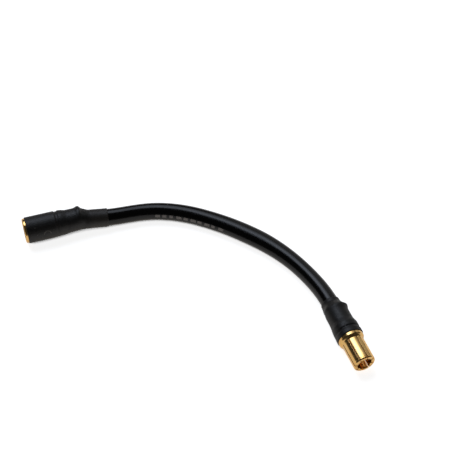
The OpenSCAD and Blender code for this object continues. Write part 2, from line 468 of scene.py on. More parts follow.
def open_group(name: str, inputs: dict[str, float], outputs: list[str]) -> tuple[NodeSheet, Any, Any]:
    """Starts a shader node group with named number sockets.

    Args:
        name: Name of the group.
        inputs: Name and default of each input.
        outputs: Names of the outputs.

    Returns:
        The sheet to add nodes with, the group's input node and its output node.
    """
    tree = bpy.data.node_groups.new(name, "ShaderNodeTree")
    for key, value in inputs.items():
        socket = tree.interface.new_socket(name=key, in_out="INPUT", socket_type="NodeSocketFloat")
        socket.default_value = value
    for key in outputs:
        tree.interface.new_socket(name=key, in_out="OUTPUT", socket_type="NodeSocketFloat")
    sheet = NodeSheet(tree)
    return sheet, sheet.add("NodeGroupInput"), sheet.add("NodeGroupOutput")


def relief_group() -> bpy.types.NodeTree:
    """Relief that soft and turned surfaces share: slow waves and fine grain on Object coordinates."""
    defaults = {"Wave Scale": 300.0, "Grain Scale": 4000.0, "Grain Share": 0.3}
    sheet, given, result = open_group("soft_relief", defaults, ["Height", "Waves", "Grain"])
    place = sheet.add("ShaderNodeTexCoord").outputs["Object"]
    waves = sheet.noise(place, given.outputs["Wave Scale"], 2.0)
    grain = sheet.noise(place, given.outputs["Grain Scale"], 3.0)
    fine = sheet.math("MULTIPLY", grain, given.outputs["Grain Share"])
    for key, value in (("Height", sheet.math("ADD", waves, fine)), ("Waves", waves), ("Grain", grain)):
        sheet.tree.links.new(value, result.inputs[key])
    return sheet.tree


def dust_group() -> bpy.types.NodeTree:
    """Sparse specks of dust: the middles of a few Voronoi cells, kept where slow noise is high."""
    patch_scale = 150.0
    sheet, given, result = open_group("dust_specks", {"Scale": 500.0, "Size": 0.12, "Spread": 0.6}, ["Mask"])
    place = sheet.add("ShaderNodeTexCoord").outputs["Object"]
    cells = sheet.add("ShaderNodeTexVoronoi", {"Vector": place, "Scale": given.outputs["Scale"]})
    speck = sheet.math("LESS_THAN", cells.outputs["Distance"], given.outputs["Size"])
    patch = sheet.math("GREATER_THAN", sheet.noise(place, patch_scale, 2.0), given.outputs["Spread"])
    sheet.tree.links.new(sheet.math("MULTIPLY", speck, patch), result.inputs["Mask"])
    return sheet.tree


@dataclass
class Groups:
    """Shader node groups that the finishes share, each built once."""

    relief: bpy.types.NodeTree = field(default_factory=relief_group)
    dust: bpy.types.NodeTree = field(default_factory=dust_group)


def new_material(name: str) -> tuple[bpy.types.Material, NodeSheet]:
    """Makes a material with an empty node tree."""
    material = bpy.data.materials.new(name)
    material.use_nodes = True
    material.node_tree.nodes.clear()
    return material, NodeSheet(material.node_tree)


def close_material(sheet: NodeSheet, shader: bpy.types.Node) -> None:
    """Wires a shader to the material's output."""
    sheet.add("ShaderNodeOutputMaterial", {"Surface": shader.outputs[0]})


def dress(material: bpy.types.Material, sheet: NodeSheet, inputs: dict[str | int, Any]) -> bpy.types.Material:
    """Closes a material with one Principled BSDF.

    Args:
        material: The material.
        sheet: The sheet of its node tree.
        inputs: Socket name to a value, or to the output that feeds it.

    Returns:
        The material.
    """
    close_material(sheet, sheet.add("ShaderNodeBsdfPrincipled", inputs))
    return material


def place_group(sheet: NodeSheet, tree: bpy.types.NodeTree, values: dict[str, float]) -> bpy.types.Node:
    """Adds a shared group to a material with its own values."""
    node = sheet.add("ShaderNodeGroup", node_tree=tree)
    for key, value in values.items():
        node.inputs[key].default_value = value
    return node


@dataclass(frozen=True)
class Relief:
    """The shared relief as one finish sets it.

    Attributes:
        waves: Scale of its slow waves.
        grain: Scale of its fine grain.
        share: Height of the grain against the waves.
        strength: Strength of the bump.
        depth: Height that the bump stands for, in metres.
    """

    waves: float
    grain: float
    share: float
    strength: float
    depth: float

    def place(self, sheet: NodeSheet, groups: Groups) -> bpy.types.Node:
        """Adds the relief group."""
        values = {"Wave Scale": self.waves, "Grain Scale": self.grain, "Grain Share": self.share}
        return place_group(sheet, groups.relief, values)

    def normal(self, sheet: NodeSheet, height: bpy.types.NodeSocket) -> bpy.types.NodeSocket:
        """Adds a bump over a height and gives its normal."""
        inputs = {"Strength": self.strength, "Distance": self.depth, "Height": height}
        return sheet.add("ShaderNodeBump", inputs).outputs[0]


@dataclass(frozen=True)
class Dust:
    """The shared specks of dust as one finish sets them.

    Attributes:
        scale: Scale of the cells.
        size: Size of a speck within its cell.
        spread: Slow noise value above which specks are kept.
        cover: How far a speck hides what is under it.
        colour: Colour of a speck.
    """

    scale: float
    size: float
    spread: float
    cover: float
    colour: Colour

    def over(self, sheet: NodeSheet, groups: Groups, base: bpy.types.NodeSocket) -> bpy.types.NodeSocket:
        """Lays the specks over a colour."""
        values = {"Scale": self.scale, "Size": self.size, "Spread": self.spread}
        specks = place_group(sheet, groups.dust, values)
        cover = sheet.math("MULTIPLY", specks.outputs["Mask"], self.cover)
        return sheet.mix_colour(cover, base, rgba(*self.colour))


def uneven(
    sheet: NodeSheet, relief: bpy.types.Node, middle: float, span: tuple[float, float]
) -> bpy.types.NodeSocket:
    """Roughness that follows the grain, between the middle plus each end of the span."""
    return sheet.ramp(relief.outputs["Grain"], *NOISE_SPAN, middle + span[0], middle + span[1])


@dataclass(frozen=True)
class GoldPlate:
    """Polished gold plate with faint turning lines round the axis."""

    name: str = "gold_plate"
    colour: Colour = (0.96, 0.62, 0.24)
    warm: Colour = (0.90, 0.53, 0.17)
    warm_from: float = 0.35
    warm_to: float = 0.7
    roughness: float = 0.2
    roughness_span: tuple[float, float] = (-0.03, 0.05)
    relief: Relief = Relief(260.0, 3000.0, 0.2, 0.35, 0.002 * MM)
    wave_share: float = 1.2
    line_scale: float = 9.0
    line_detail: float = 3.0

    def make(self, groups: Groups) -> bpy.types.Material:
        """Builds the material.

        The relief is noise along the outline alone, so that it makes rings, plus soft waves.
        """
        material, sheet = new_material(self.name)
        relief = self.relief.place(sheet, groups)
        along, _ = sheet.spot()
        inputs = {"W": along, "Scale": self.line_scale, "Detail": self.line_detail}
        lines = sheet.add("ShaderNodeTexNoise", inputs, noise_dimensions="1D").outputs["Fac"]
        waves = sheet.math("MULTIPLY", relief.outputs["Waves"], self.wave_share)
        warmth = sheet.ramp(relief.outputs["Waves"], self.warm_from, self.warm_to)
        return dress(
            material,
            sheet,
            {
                "Base Color": sheet.mix_colour(warmth, rgba(*self.colour), rgba(*self.warm)),
                "Metallic": 1.0,
                "Roughness": uneven(sheet, relief, self.roughness, self.roughness_span),
                "Normal": self.relief.normal(sheet, sheet.math("ADD", lines, waves)),
            },
        )


@dataclass(frozen=True)
class PaintedRingHighlight:
    """One painted highlight on a sleeve: half of a thin pale ring, painted where light catches the sleeve.

    Attributes:
        run: Place of its middle along the sleeve's map, in millimetres.
        turn: Place of its middle round the sleeve, in turns.
        skin_per_turn: Length of the skin once round, in millimetres.
        radius: Radius of the ring, in millimetres.
        solid: Distance from the ring within which it is full.
        fading: Distance at which it has faded out.
        half_from: Height across the middle at which the painted half starts.
        half_to: Height at which it is full.
        highlight_share: How far the painted highlight hides the sleeve.
        colour: Colour of the painted highlight.
    """

    run: float = 7.4
    turn: float = 0.535
    skin_per_turn: float = 31.0
    radius: float = 1.3
    solid: float = 0.08
    fading: float = 0.28
    half_from: float = -0.4
    half_to: float = 0.6
    highlight_share: float = 0.2
    colour: Colour = (0.4, 0.37, 0.33)

    def mask(self, sheet: NodeSheet, run: Any, turn: Any) -> bpy.types.NodeSocket:
        """Mask of the painted highlight: half of a thin ring, on the side of it that lies higher on the
        sleeve.

        The distance from the ring's middle is the root of the squares along and across, and the ring is where
        it is close to the radius.
        """
        along = sheet.math("SUBTRACT", run, self.run)
        across = sheet.math("MULTIPLY", sheet.math("SUBTRACT", turn, self.turn), self.skin_per_turn)
        along_squared = sheet.math("MULTIPLY", along, along)
        across_squared = sheet.math("MULTIPLY", across, across)
        away = sheet.math("SQRT", sheet.math("ADD", along_squared, across_squared))
        off_ring = sheet.math("ABSOLUTE", sheet.math("SUBTRACT", away, self.radius))
        ring = sheet.ramp(off_ring, self.solid, self.fading, 1.0, 0.0)
        return sheet.math("MULTIPLY", ring, sheet.ramp(across, self.half_from, self.half_to))

    def over(self, sheet: NodeSheet, run: Any, turn: Any, base: bpy.types.NodeSocket) -> bpy.types.NodeSocket:
        """Lays the painted highlight over a colour."""
        highlight_share = sheet.math("MULTIPLY", self.mask(sheet, run, turn), self.highlight_share)
        return sheet.mix_colour(highlight_share, base, rgba(*self.colour))


@dataclass(frozen=True)
class ShrunkPolyolefin:
    """Satin black shrink sleeve with soft waves, fine grain, one painted ring highlight and dust.

    Attributes:
        painted_tail_sheen: Paler colour on the sleeve's tail over the cable, a painted sheen.
        painted_sheen_from: Place along the sleeve's map where the painted sheen starts, in millimetres.
        painted_sheen_over: Length over which the colour changes.
    """

    name: str = "shrunk_polyolefin"
    colour: Colour = (0.0024, 0.0019, 0.0016)
    pale: Colour = (0.0075, 0.0059, 0.005)
    pale_from: float = 0.4
    pale_to: float = 0.75
    # Painted sheen: paler colour for the sleeve's tail over the cable
    painted_tail_sheen: Colour = (0.02, 0.0165, 0.013)
    painted_sheen_from: float = 22.5
    painted_sheen_over: float = 3.0
    roughness: float = 0.5
    roughness_span: tuple[float, float] = (-0.05, 0.08)
    relief: Relief = Relief(420.0, 3500.0, 0.25, 0.6, 0.06 * MM)
    dust: Dust = Dust(620.0, 0.09, 0.62, 0.5, (0.32, 0.31, 0.29))
    # Painted highlight: a pale half ring in the sleeve's colour
    ring_highlight: PaintedRingHighlight = PaintedRingHighlight()

    def make(self, groups: Groups) -> bpy.types.Material:
        """Builds the material; the sleeve's tail over the cable is painted paler, a painted sheen."""
        material, sheet = new_material(self.name)
        relief = self.relief.place(sheet, groups)
        run, turn = sheet.spot()
        paler = sheet.ramp(relief.outputs["Waves"], self.pale_from, self.pale_to)
        # Painted sheen: mask that makes the tail over the cable paler
        thinned_edges_and_painted_sheen = sheet.ramp(run, self.painted_sheen_from, self.painted_sheen_from + self.painted_sheen_over)
        shade = sheet.mix_colour(paler, rgba(*self.colour), rgba(*self.pale))
        shade = sheet.mix_colour(thinned_edges_and_painted_sheen, shade, rgba(*self.painted_tail_sheen))
        # Painted highlight: a pale half ring laid into the sleeve's colour
        shade = self.ring_highlight.over(sheet, run, turn, shade)
        return dress(
            material,
            sheet,
            {
                "Base Color": self.dust.over(sheet, groups, shade),
                "Roughness": uneven(sheet, relief, self.roughness, self.roughness_span),
                "Normal": self.relief.normal(sheet, relief.outputs["Height"]),
            },
        )


@dataclass(frozen=True)
class Dashes:
    """Row of plain pale dashes along the cable.

    Attributes:
        first: Where the row starts along the cable, in millimetres.
        last: Where it ends.
        turn: Its place round the cable, in turns.
        half_width: Half of a dash's width, in turns.
        soft: Blur of a dash's sides, in turns.
        pitch: Step from dash to dash, in millimetres.
        shortest: Shortest dash, as a share of the pitch.
        vary: How much longer a dash may be.
        colour: Colour of a dash.
    """

    first: float = 29.6
    last: float = 59.0
    turn: float = 0.54
    half_width: float = 0.028
    soft: float = 0.006
    pitch: float = 2.95
    shortest: float = 0.5
    vary: float = 0.3
    end_soft: float = 0.04
    start_soft: float = 0.06
    colour: Colour = (0.22, 0.2, 0.185)

    def mask(self, sheet: NodeSheet) -> bpy.types.NodeSocket:
        """Mask of the dashes: cells along the cable, each filled from its start to a length of its own."""
        run, turn = sheet.spot()
        cell = sheet.math("DIVIDE", run, self.pitch)
        within = sheet.math("FRACT", cell)
        draw = sheet.add("ShaderNodeTexWhiteNoise", {"W": sheet.math("FLOOR", cell)}, noise_dimensions="1D")
        end = sheet.math("ADD", sheet.math("MULTIPLY", draw.outputs["Value"], self.vary), self.shortest)
        filled = sheet.ramp(sheet.math("SUBTRACT", within, end), -self.end_soft, self.end_soft, 1.0, 0.0)
        started = sheet.ramp(within, 0.0, self.start_soft)
        off = sheet.math("ABSOLUTE", sheet.math("SUBTRACT", turn, self.turn))
        band = sheet.ramp(off, self.half_width - self.soft, self.half_width + self.soft, 1.0, 0.0)
        after = sheet.math("GREATER_THAN", run, self.first)
        inside = sheet.math("MULTIPLY", after, sheet.math("LESS_THAN", run, self.last))
        dash = sheet.math("MULTIPLY", filled, started)
        return sheet.math("MULTIPLY", dash, sheet.math("MULTIPLY", band, inside))


@dataclass(frozen=True)
class Silicone:
    """Smooth black silicone jacket with slow waves, faint grain, dust and a row of plain pale dashes."""

    name: str = "silicone_jacket"
    colour: Colour = (0.0009, 0.0009, 0.001)
    roughness: float = 0.21
    roughness_span: tuple[float, float] = (-0.03, 0.06)
    ior: float = 1.41
    relief: Relief = Relief(180.0, 2600.0, 0.12, 0.35, 0.05 * MM)
    dust: Dust = Dust(520.0, 0.08, 0.62, 0.6, (0.4, 0.38, 0.36))
    dashes: Dashes = Dashes()

    def make(self, groups: Groups) -> bpy.types.Material:
        """Builds the material."""
        material, sheet = new_material(self.name)
        relief = self.relief.place(sheet, groups)
        marked = sheet.mix_colour(self.dashes.mask(sheet), rgba(*self.colour), rgba(*self.dashes.colour))
        return dress(
            material,
            sheet,
            {
                "Base Color": self.dust.over(sheet, groups, marked),
                "Roughness": uneven(sheet, relief, self.roughness, self.roughness_span),
                "Normal": self.relief.normal(sheet, relief.outputs["Height"]),
                "IOR": self.ior,
            },
        )


@dataclass(frozen=True)
class Solder:
    """Dull tin solder, a little uneven."""

    name: str = "tin_solder"
    colour: Colour = (0.55, 0.55, 0.54)
    smoothest: float = 0.28
    roughest: float = 0.5
    relief: Relief = Relief(500.0, 5000.0, 0.4, 0.6, 0.08 * MM)

    def make(self, groups: Groups) -> bpy.types.Material:
        """Builds the material."""
        material, sheet = new_material(self.name)
        relief = self.relief.place(sheet, groups)
        return dress(
            material,
            sheet,
            {
                "Base Color": rgba(*self.colour),
                "Metallic": 1.0,
                "Roughness": sheet.ramp(relief.outputs["Waves"], *NOISE_SPAN, self.smoothest, self.roughest),
                "Normal": self.relief.normal(sheet, relief.outputs["Height"]),
            },
        )


@dataclass(frozen=True)
class TinnedCopper:
    """Copper of the conductor, in two tones that follow the shared relief's waves."""

    name: str = "tinned_copper"
    bright: Colour = (0.85, 0.50, 0.32)
    deep: Colour = (0.45, 0.20, 0.11)
    bright_from: float = 0.35
    bright_to: float = 0.65
    roughness: float = 0.35
    relief: Relief = Relief(900.0, 6000.0, 0.5, 0.6, 0.1 * MM)

    def make(self, groups: Groups) -> bpy.types.Material:
        """Builds the material."""
        material, sheet = new_material(self.name)
        relief = self.relief.place(sheet, groups)
        brighter = sheet.ramp(relief.outputs["Waves"], self.bright_from, self.bright_to)
        return dress(
            material,
            sheet,
            {
                "Base Color": sheet.mix_colour(brighter, rgba(*self.deep), rgba(*self.bright)),
                "Metallic": 1.0,
                "Roughness": self.roughness,
                "Normal": self.relief.normal(sheet, relief.outputs["Height"]),
            },
        )


# --------------------------------------------------------------------------------------------------
# Pieces
# --------------------------------------------------------------------------------------------------


def finish_piece(
    piece: bpy.types.Object, material: bpy.types.Material, slot: str, *nodes: str
) -> bpy.types.Object:
    """Dresses a piece, lets it ride on the lead and stand for its CAD nodes."""
    piece.data.materials.clear()
    piece.data.materials.append(material)
    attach(piece, "root")
    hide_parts(*nodes)
    LOG.info("%s: %d faces", piece.name, len(piece.data.polygons))
    return piece


@dataclass
class Cable:
    """The cable's jacket, swept along the line and a little flattened where it lies bent.

    Attributes:
        line: The centre line.
        spread: Millimetres along the cable, and its width there as a share of its diameter.
        soften_mm: Reach each way over which the width is averaged.
        seam_mm: Step in the map between the skin and the lining.
    """

    line: CableLine
    diameter: float = CABLE_D * MM
    strand_diameter: float = STRAND_D * MM
    rows: int = 480
    columns: int = 72
    spread: tuple[tuple[float, float], ...] = (
        (0.0, 1.0), (22.0, 0.97), (38.0, 1.02), (55.0, 1.07), (68.0, 1.12),
        (76.0, 1.08), (86.0, 0.98), (95.0, 0.955), (108.0, 0.97), (116.0, 1.0),
    )
    soften_mm: int = 5
    seam_mm: float = 1.0

    def widths(self, s: Array) -> Array:
        """Width of the cable as a share of its diameter.

        The chosen widths are joined by straight lines, read once a millimetre, and each is averaged with its
        neighbours.

        Args:
            s: Distances along the line, in metres.

        Returns:
            The share at each distance.
        """
        at, share = np.array(self.spread).T
        wide = np.interp(np.arange(s[-1] / MM + 1), at, share)
        window = np.ones(2 * self.soften_mm + 1)
        soft = np.convolve(np.pad(wide, self.soften_mm, mode="edge"), window / len(window), "valid")
        return np.interp(s / MM, np.arange(len(wide)), soft)

    def make(self, material: bpy.types.Material) -> bpy.types.Object:
        """Builds the jacket as one closed tube: the outer skin there, and the inner skin back.

        A point lies at the line's place plus the radius times cosine and sine along left and up. On the outer
        skin the part along left is multiplied by the width there.
        """
        s = np.linspace(0.0, self.line.length, self.rows)
        path, along = self.line.at(s)
        left, up = sideways(along)
        angle = -np.arange(self.columns) * 2 * math.pi / self.columns
        rise = np.sin(angle)[None, :, None] * up[:, None]
        reach = np.cos(angle)[None, :, None] * left[:, None]
        flat = self.widths(s)[:, None, None] * np.cos(angle)[None, :, None] * left[:, None]
        outer = path[:, None] + (flat + rise) * self.diameter / 2
        inner = path[:, None] + (reach + rise) * self.strand_diameter / 2
        grid = np.concatenate([outer, inner[::-1]])
        seam = self.seam_mm * MM
        lengths = np.concatenate([s, s[-1] + s + seam, [2 * s[-1] + 2 * seam]]) / MM
        piece = grid_mesh("cable", grid, lengths, np.linspace(0.0, 1.0, self.columns + 1), True)
        finish_piece(piece, material, "silicone_jacket", "cable_jacket")
        self.line.length
        return piece


@dataclass
class PlugContact:
    """Turned plug: solder cup, shoulder, ring, groove, collar and neck, with a slotted barrel of tines.

    Sizes are in millimetres, and heights count from the mouth of the solder cup.
    """

    axis: ContactAxis
    barrel_r: float = 4.0
    wall: float = 1.4
    body_r: float = BODY_R
    cup_r: float = CUP_R
    cup_bore_r: float = CUP_BORE_R
    cup_depth: float = 7.0
    shoulder_z: float = 4.6
    ring_z: float = 7.4
    ring_r: float = 4.58
    groove_z: float = 9.8
    groove_r: float = 4.4
    groove_side: float = 0.18
    collar_z: float = 11.0
    collar_side: float = 0.3
    neck_z: float = 13.5
    neck_lead: float = 0.2
    barrel_z: float = 14.845
    tip_z: float = 24.245
    neck_slope_deg: float = 55.0
    bore_floor_drop: float = 1.0
    drill_point_drop: float = 2.2
    slot_run: float = 0.1
    slot_count: int = 8
    slot_w: float = 0.32
    slot_turn_deg: float = 32.0
    tip_round: float = 0.5
    tip_chamfer: float = 0.25
    lip_len: float = 0.9
    lip_line: float = 0.08
    edge_soft: float = 0.07
    lip_round: float = 0.15
    floor_round: float = 0.2
    shoulder_round: float = 0.8
    edge_round: float = 0.1
    segments: int = 192

    @property
    def bore_r(self) -> float:
        """Radius of the hole that the tines stand round."""
        return self.barrel_r - self.wall

    @property
    def neck_r(self) -> float:
        """Radius of the neck's two arcs, which share the step from the body down to the barrel."""
        slope = math.radians(self.neck_slope_deg)
        return (self.body_r - self.barrel_r) / 2 / (1 - math.cos(slope))

    def neck(self) -> Array:
        """Outline of the neck up to the slots, in metres: an arc that bulges, then one that is hollow."""
        turn = np.linspace(0.0, math.radians(self.neck_slope_deg), 13)[:, None]
        reach = self.neck_r * np.cos(turn)
        rise = self.neck_r * np.sin(turn)
        swell = np.hstack([self.body_r - self.neck_r + reach, self.neck_z + rise])
        hollow = np.hstack([self.barrel_r + self.neck_r - reach, self.barrel_z - rise])
        points = np.vstack([swell, hollow[::-1][1:]])
        clear_of_slots = 0.01
        return points[points[:, 1] < self.barrel_z - self.slot_run - clear_of_slots] * MM

    def outline(self) -> Array:
        """Outline of the body behind the slots, from the cup's floor up the outside and down the bore."""
        slot_z = self.barrel_z - self.slot_run
        root_r = self.barrel_r + self.neck_r - math.sqrt(self.neck_r**2 - self.slot_run**2)
        edge = self.edge_round
        back = rounded(
            [
                (0.0, self.cup_depth, 0),
                (self.cup_bore_r, self.cup_depth, self.floor_round),
                (self.cup_bore_r, 0.0, self.lip_round),
                (self.cup_r, 0.0, self.lip_round),
                (self.cup_r, self.shoulder_z, self.shoulder_round),
                (self.ring_r, self.ring_z, self.floor_round),
                (self.ring_r, self.groove_z, edge),
                (self.groove_r, self.groove_z + self.groove_side, edge),
                (self.groove_r, self.collar_z - self.collar_side, edge),
                (self.body_r, self.collar_z, edge),
                (self.body_r, self.neck_z - self.neck_lead, 0),
            ],
            8,
        )
        front = rounded(
            [
                (root_r, slot_z, 0),
                (self.bore_r, slot_z, 0),
                (self.bore_r, self.barrel_z - self.bore_floor_drop, self.floor_round),
                (0.0, self.barrel_z - self.drill_point_drop, 0),
            ],
            8,
        )
        return np.vstack([back, self.neck(), front])

    def tine_rows(self) -> tuple[Array, Array, Array]:
        """Outer radius, inner radius and height of a tine's sections, from its root to its tip.

        The outside has the turned line and then the quarter round of the tip, and the inside its chamfer.
        Both meet in the last row, which closes the tip.
        """
        middle = self.barrel_r - self.wall / 2
        line_z = self.tip_z - self.lip_len
        root = np.array([-self.slot_run, -self.slot_run / 2, 0.0]) + self.barrel_z
        past_neck, before_line = 0.4, 0.2
        shaft = np.linspace(self.barrel_z + past_neck, line_z - before_line, 10)
        dips = np.array([-1.0, -0.5, 0.0, 0.5, 1.0]) * self.lip_line
        turn = np.linspace(0.0, math.pi / 2, 9)
        curl = self.tip_z - self.tip_round * (1 - np.sin(turn))
        height = np.concatenate([root, shaft, line_z + dips, curl, [self.tip_z]])
        outer = np.full_like(height, self.barrel_r)
        outer[: len(root)] += self.neck_r - np.sqrt(self.neck_r**2 - (self.barrel_z - root) ** 2)
        line_row = len(root) + len(shaft)
        outer[line_row : line_row + len(dips)] -= self.lip_line - np.abs(dips)
        outer[-len(curl) - 1 : -1] -= self.tip_round * (1 - np.cos(turn))
        inner = self.bore_r + np.clip(height - self.tip_z + self.tip_chamfer, 0.0, self.tip_chamfer)
        outer[-1] = inner[-1] = middle
        return outer, inner, height

    def tine(self, number: int) -> tuple[Array, Array, Array]:
        """Grid of one tine: a closed shell between two slots.

        Its section is an outer arc, a rounded flank, an inner arc and the other flank. At a radius r the
        flank stands off the slot's middle by the arcsine of half the slot's width over r.

        Args:
            number: Which tine, counted from the first slot.

        Returns:
            The grid of points, the map coordinate of its rows and that of its columns.
        """
        outer, inner, height = (x[:, None] for x in self.tine_rows())
        pitch = 2 * math.pi / self.slot_count
        soft = np.minimum(self.edge_soft, (outer - inner) / 2)
        half_out = np.arcsin((self.slot_w / 2 + soft) / outer)
        half_in = np.arcsin((self.slot_w / 2 + soft) / inner)
        arc = np.linspace(0.0, 1.0, 25)[None, :]
        turn = np.linspace(0.0, math.pi / 2, 5)[None, 1:]
        sin, cos = np.sin(turn), np.cos(turn)
        radius = np.hstack(
            [
                outer + 0 * arc,
                outer - soft + soft * cos,
                inner + soft - soft * sin,
                inner + 0 * arc,
                inner + soft - soft * cos,
                outer - soft + soft * sin,
            ]
        )
        angle = np.hstack(
            [
                half_out + (pitch - 2 * half_out) * arc,
                pitch - half_out + soft * sin / outer,
                pitch - half_in + soft * cos / inner,
                pitch - half_in - (pitch - 2 * half_in) * arc,
                half_in - soft * sin / inner,
                half_out - soft * cos / outer,
            ]
        )
        angle += math.radians(self.slot_turn_deg) + pitch * number - math.pi / 2
        grid = self.axis.place(radius * MM, height * MM + 0 * radius, angle)[:, ::-1]
        past_body = 20.0  # Keeps a tine's map clear of the body's
        turns = np.linspace(number, number + 1, grid.shape[1] + 1) / self.slot_count
        return grid, height[:, 0] + past_body, turns

    def make(self, material: bpy.types.Material) -> bpy.types.Object:
        """Builds the body and its tines, joined as one piece."""
        piece = self.axis.turned("plug_contact", self.outline(), self.segments, 25.0)
        tines = [
            grid_mesh(f"tine_{n}", *self.tine(n), flat_ends=True, sharp_deg=30.0)
            for n in range(self.slot_count)
        ]
        piece = joined(piece, tines)
        return finish_piece(piece, material, "gold_contact", "plug_body")


@dataclass
class SocketContact:
    """Turned socket: solder cup, shoulder, ring, groove and a long bored body with a bright rim."""

    axis: ContactAxis
    bore_r: float = 4.02
    body_r: float = BODY_R
    cup_r: float = CUP_R
    cup_bore_r: float = CUP_BORE_R
    cup_depth: float = 6.8
    shoulder_z: float = 4.3
    ring_r: float = 4.55
    ring_z: float = 6.8
    groove_r: float = 4.35
    groove_z: float = 7.4
    groove_floor: tuple[float, float] = (7.6, 8.45)
    body_z: float = 8.8
    bore_floor: float = 9.4
    rim_z: float = 20.8
    rim_round: float = 0.5
    rim_chamfer: float = 0.15
    chamfer_len: float = 0.35
    chamfer_edge: float = 0.04
    lip_round: float = 0.15
    floor_round: float = 0.2
    shoulder_round: float = 0.8
    edge_round: float = 0.1
    segments: int = 192

    def outline(self) -> Array:
        """Outline from the cup's floor up the outside and down the bore."""
        edge = self.edge_round
        return rounded(
            [
                (0.0, self.cup_depth, 0),
                (self.cup_bore_r, self.cup_depth, self.floor_round),
                (self.cup_bore_r, 0.0, self.lip_round),
                (self.cup_r, 0.0, self.lip_round),
                (self.cup_r, self.shoulder_z, self.shoulder_round),
                (self.ring_r, self.ring_z, self.floor_round),
                (self.ring_r, self.groove_z, edge),
                (self.groove_r, self.groove_floor[0], edge),
                (self.groove_r, self.groove_floor[1], edge),
                (self.body_r, self.body_z, edge),
                (self.body_r, self.rim_z, self.rim_round),
                (self.bore_r + self.rim_chamfer, self.rim_z, self.chamfer_edge),
                (self.bore_r, self.rim_z - self.chamfer_len, edge),
                (self.bore_r, self.bore_floor, self.floor_round),
                (0.0, self.bore_floor, 0),
            ],
            8,
        )

    def make(self, material: bpy.types.Material) -> bpy.types.Object:
        """Builds the socket."""
        piece = self.axis.turned("socket_contact", self.outline(), self.segments, 25.0)
        return finish_piece(piece, material, "gold_contact", "socket_body")


@dataclass(frozen=True)
class Pucker:
    """One slanting wave round a sleeve.

    Attributes:
        share: Its height against the puckers' height.
        waves: Waves in one turn.
        slant: Phase per millimetre along the sleeve.
        start: Phase at the cup's mouth.
    """

    share: float
    waves: float
    slant: float
    start: float


@dataclass(frozen=True)
class Fold:
    """Gathered fold of a sleeve where its cup ends.

    Attributes:
        height: Height of its crest, in millimetres.
        at: Distance of the crest behind the cup's mouth.
        front: Reach of the fold towards the contact.
        back: Reach towards the cable.
        turn_deg: Angle above level at which it stands out most.
        crest_power: How sharp the crest is along the sleeve.
        bell_power: How sharp it is round the sleeve.
        pucker: Height of the slanting puckers behind it.
        pucker_behind: Distance from the crest to the puckers' middle.
        pucker_reach: Distance over which they fade.
        puckers: The waves that make them up.
    """

    height: float
    at: float
    front: float
    back: float
    turn_deg: float
    crest_power: float = 1.8
    bell_power: float = 0.9
    pucker: float = 0.06
    pucker_behind: float = 0.8
    pucker_reach: float = 1.6
    puckers: tuple[Pucker, ...] = (Pucker(1.0, 5, 1.6, 0.0), Pucker(0.6, 3, -2.3, 1.0))

    def swell(self, t: Array, angle: Array) -> Array:
        """Extra radius, in millimetres.

        A rounded crest along t times a bell round the sleeve, plus slanting waves that fade both ways from
        behind the crest. A wave is the sine of its waves times the angle, plus its slant times t, plus its
        start.

        Args:
            t: Distances behind the cup's mouth, in millimetres.
            angle: Angles round the sleeve.

        Returns:
            The extra radius, by distance and angle.
        """
        reach = np.where(t < self.at, self.front, self.back)
        along = (1 - ease(np.abs(t - self.at) / reach)) ** self.crest_power
        around = np.clip(np.cos(angle - math.radians(self.turn_deg)), 0, 1) ** self.bell_power
        wave = sum(
            w.share * np.sin(w.waves * angle[None, :] + w.slant * t[:, None] + w.start) for w in self.puckers
        )
        fade = np.exp(-(((t - self.at - self.pucker_behind) / self.pucker_reach) ** 2))[:, None]
        return self.height * along[:, None] * around[None, :] + self.pucker * wave * fade


@dataclass(frozen=True)
class SleeveShape:
    """Form of one shrunk sleeve. Distances run from the cup's mouth: negative over the contact.

    Attributes:
        held: Distance and radius of the metal under the sleeve, in millimetres, from its front edge.
        draw: Length over which the sleeve draws in from the cup to the cable.
        tail: Length over the cable.
        lean_deg: Angle above level at which the contact's axis lies off the cable.
        fold: The fold at the cup's mouth.
    """

    held: tuple[tuple[float, float], ...]
    draw: float
    tail: float
    lean_deg: float
    fold: Fold


